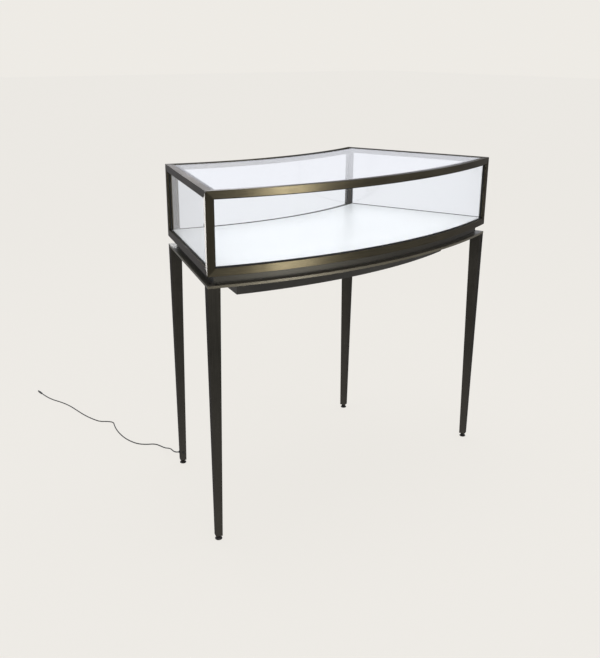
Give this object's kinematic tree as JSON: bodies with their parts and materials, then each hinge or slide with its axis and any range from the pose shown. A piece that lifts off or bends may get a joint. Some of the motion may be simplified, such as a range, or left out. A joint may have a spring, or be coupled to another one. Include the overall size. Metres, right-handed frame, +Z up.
{
  "type": "jewelry display table",
  "caption": "Curved glass-topped jewelry display case with rear door and lock, raised on four tapered square legs with levelling feet",
  "frame": {"origin": "on the floor, at the middle of the table's outline without the cord", "axes": "+X to the right as the customer sees it, +Y towards the staff side, +Z up; the convex glass front faces -Y"},
  "size_m": [1.026, 1.3453, 0.93],
  "materials": {
    "dark_bronze": "brushed, dark bronze anodised",
    "dark_paint": "satin dark bronze powder coat",
    "clear_glass": "clear low-iron glass, ground edges",
    "black_rubber": "matte black",
    "steel": "turned and zinc plated",
    "foot_steel": "blackened, satin",
    "white_laminate": "smooth white laminate on board",
    "board": "plain board",
    "light_parts": "white and opal",
    "controller_case": "fine textured black"
  },
  "bodies": {
    "table": {"base_plate": "dark_paint", "bottom_rail_front": "dark_bronze", "bottom_rail_left": "dark_bronze", "bottom_rail_rear": "dark_bronze", "bottom_rail_right": "dark_bronze", "case_bolts": "steel", "cord_connector": "black_rubber", "cord_fixings": "black_rubber", "corner_post_front_left": "dark_bronze", "corner_post_front_right": "dark_bronze", "corner_post_rear_left": "dark_bronze", "corner_post_rear_right": "dark_bronze", "deck_board": "board", "deck_panel": "white_laminate", "door_pivot_pins": "steel", "door_stops": "black_rubber", "end_glass_seals": "black_rubber", "foot_inserts": "steel", "front_glass": "clear_glass", "front_glass_seal": "black_rubber", "inner_cables": "black_rubber", "lead_cover": "dark_bronze", "left_glass": "clear_glass", "leg_front_left": "dark_bronze", "leg_front_right": "dark_bronze", "leg_rear_left": "dark_bronze", "leg_rear_right": "dark_bronze", "leg_screws": "steel", "light_channel": "dark_bronze", "light_controller": "controller_case", "light_diffuser": "light_parts", "light_strip": "light_parts", "lock_sleeve": "steel", "pan": "dark_paint", "pan_screws": "steel", "pan_standoffs": "steel", "plinth_front": "dark_paint", "plinth_left": "dark_paint", "plinth_rear": "dark_paint", "plinth_right": "dark_paint", "power_cord": "black_rubber", "right_glass": "clear_glass", "top_glass": "clear_glass", "top_glass_tape": "black_rubber", "top_rail_front": "dark_bronze", "top_rail_left": "dark_bronze", "top_rail_rear": "dark_bronze", "top_rail_right": "dark_bronze"},
    "door": {"door_glass": "clear_glass", "door_glass_seals": "black_rubber", "door_hinge_stile": "dark_bronze", "door_lock_stile": "dark_bronze", "door_pull": "dark_bronze", "door_strike": "dark_bronze"},
    "lock": {"lock_plug": "steel"},
    "levelling_front_left": {"foot_front_left": "foot_steel"},
    "levelling_front_right": {"foot_front_right": "foot_steel"},
    "levelling_rear_left": {"foot_rear_left": "foot_steel"},
    "levelling_rear_right": {"foot_rear_right": "foot_steel"}
  },
  "joints": [
    {"name": "door_hinge", "type": "hinge", "parent": "table", "child": "door", "pos_m": [0.32773, 0.25908, 0.745], "axis": [0, 0, -1], "range_deg": [0, 100]},
    {"name": "lock_turn", "type": "hinge", "parent": "table", "child": "lock", "pos_m": [-0.23661, 0.23707, 0.735], "axis": [-0.232, -0.9727, 0], "range_deg": [0, 90]},
    {"name": "foot_front_left_slide", "type": "slide", "parent": "table", "child": "levelling_front_left", "axis": [0, 0, -1], "range_m": [-0.0025, 0.012]},
    {"name": "foot_front_right_slide", "type": "slide", "parent": "table", "child": "levelling_front_right", "axis": [0, 0, -1], "range_m": [-0.0025, 0.012]},
    {"name": "foot_rear_left_slide", "type": "slide", "parent": "table", "child": "levelling_rear_left", "axis": [0, 0, -1], "range_m": [-0.0025, 0.012]},
    {"name": "foot_rear_right_slide", "type": "slide", "parent": "table", "child": "levelling_rear_right", "axis": [0, 0, -1], "range_m": [-0.0025, 0.012]}
  ]
}
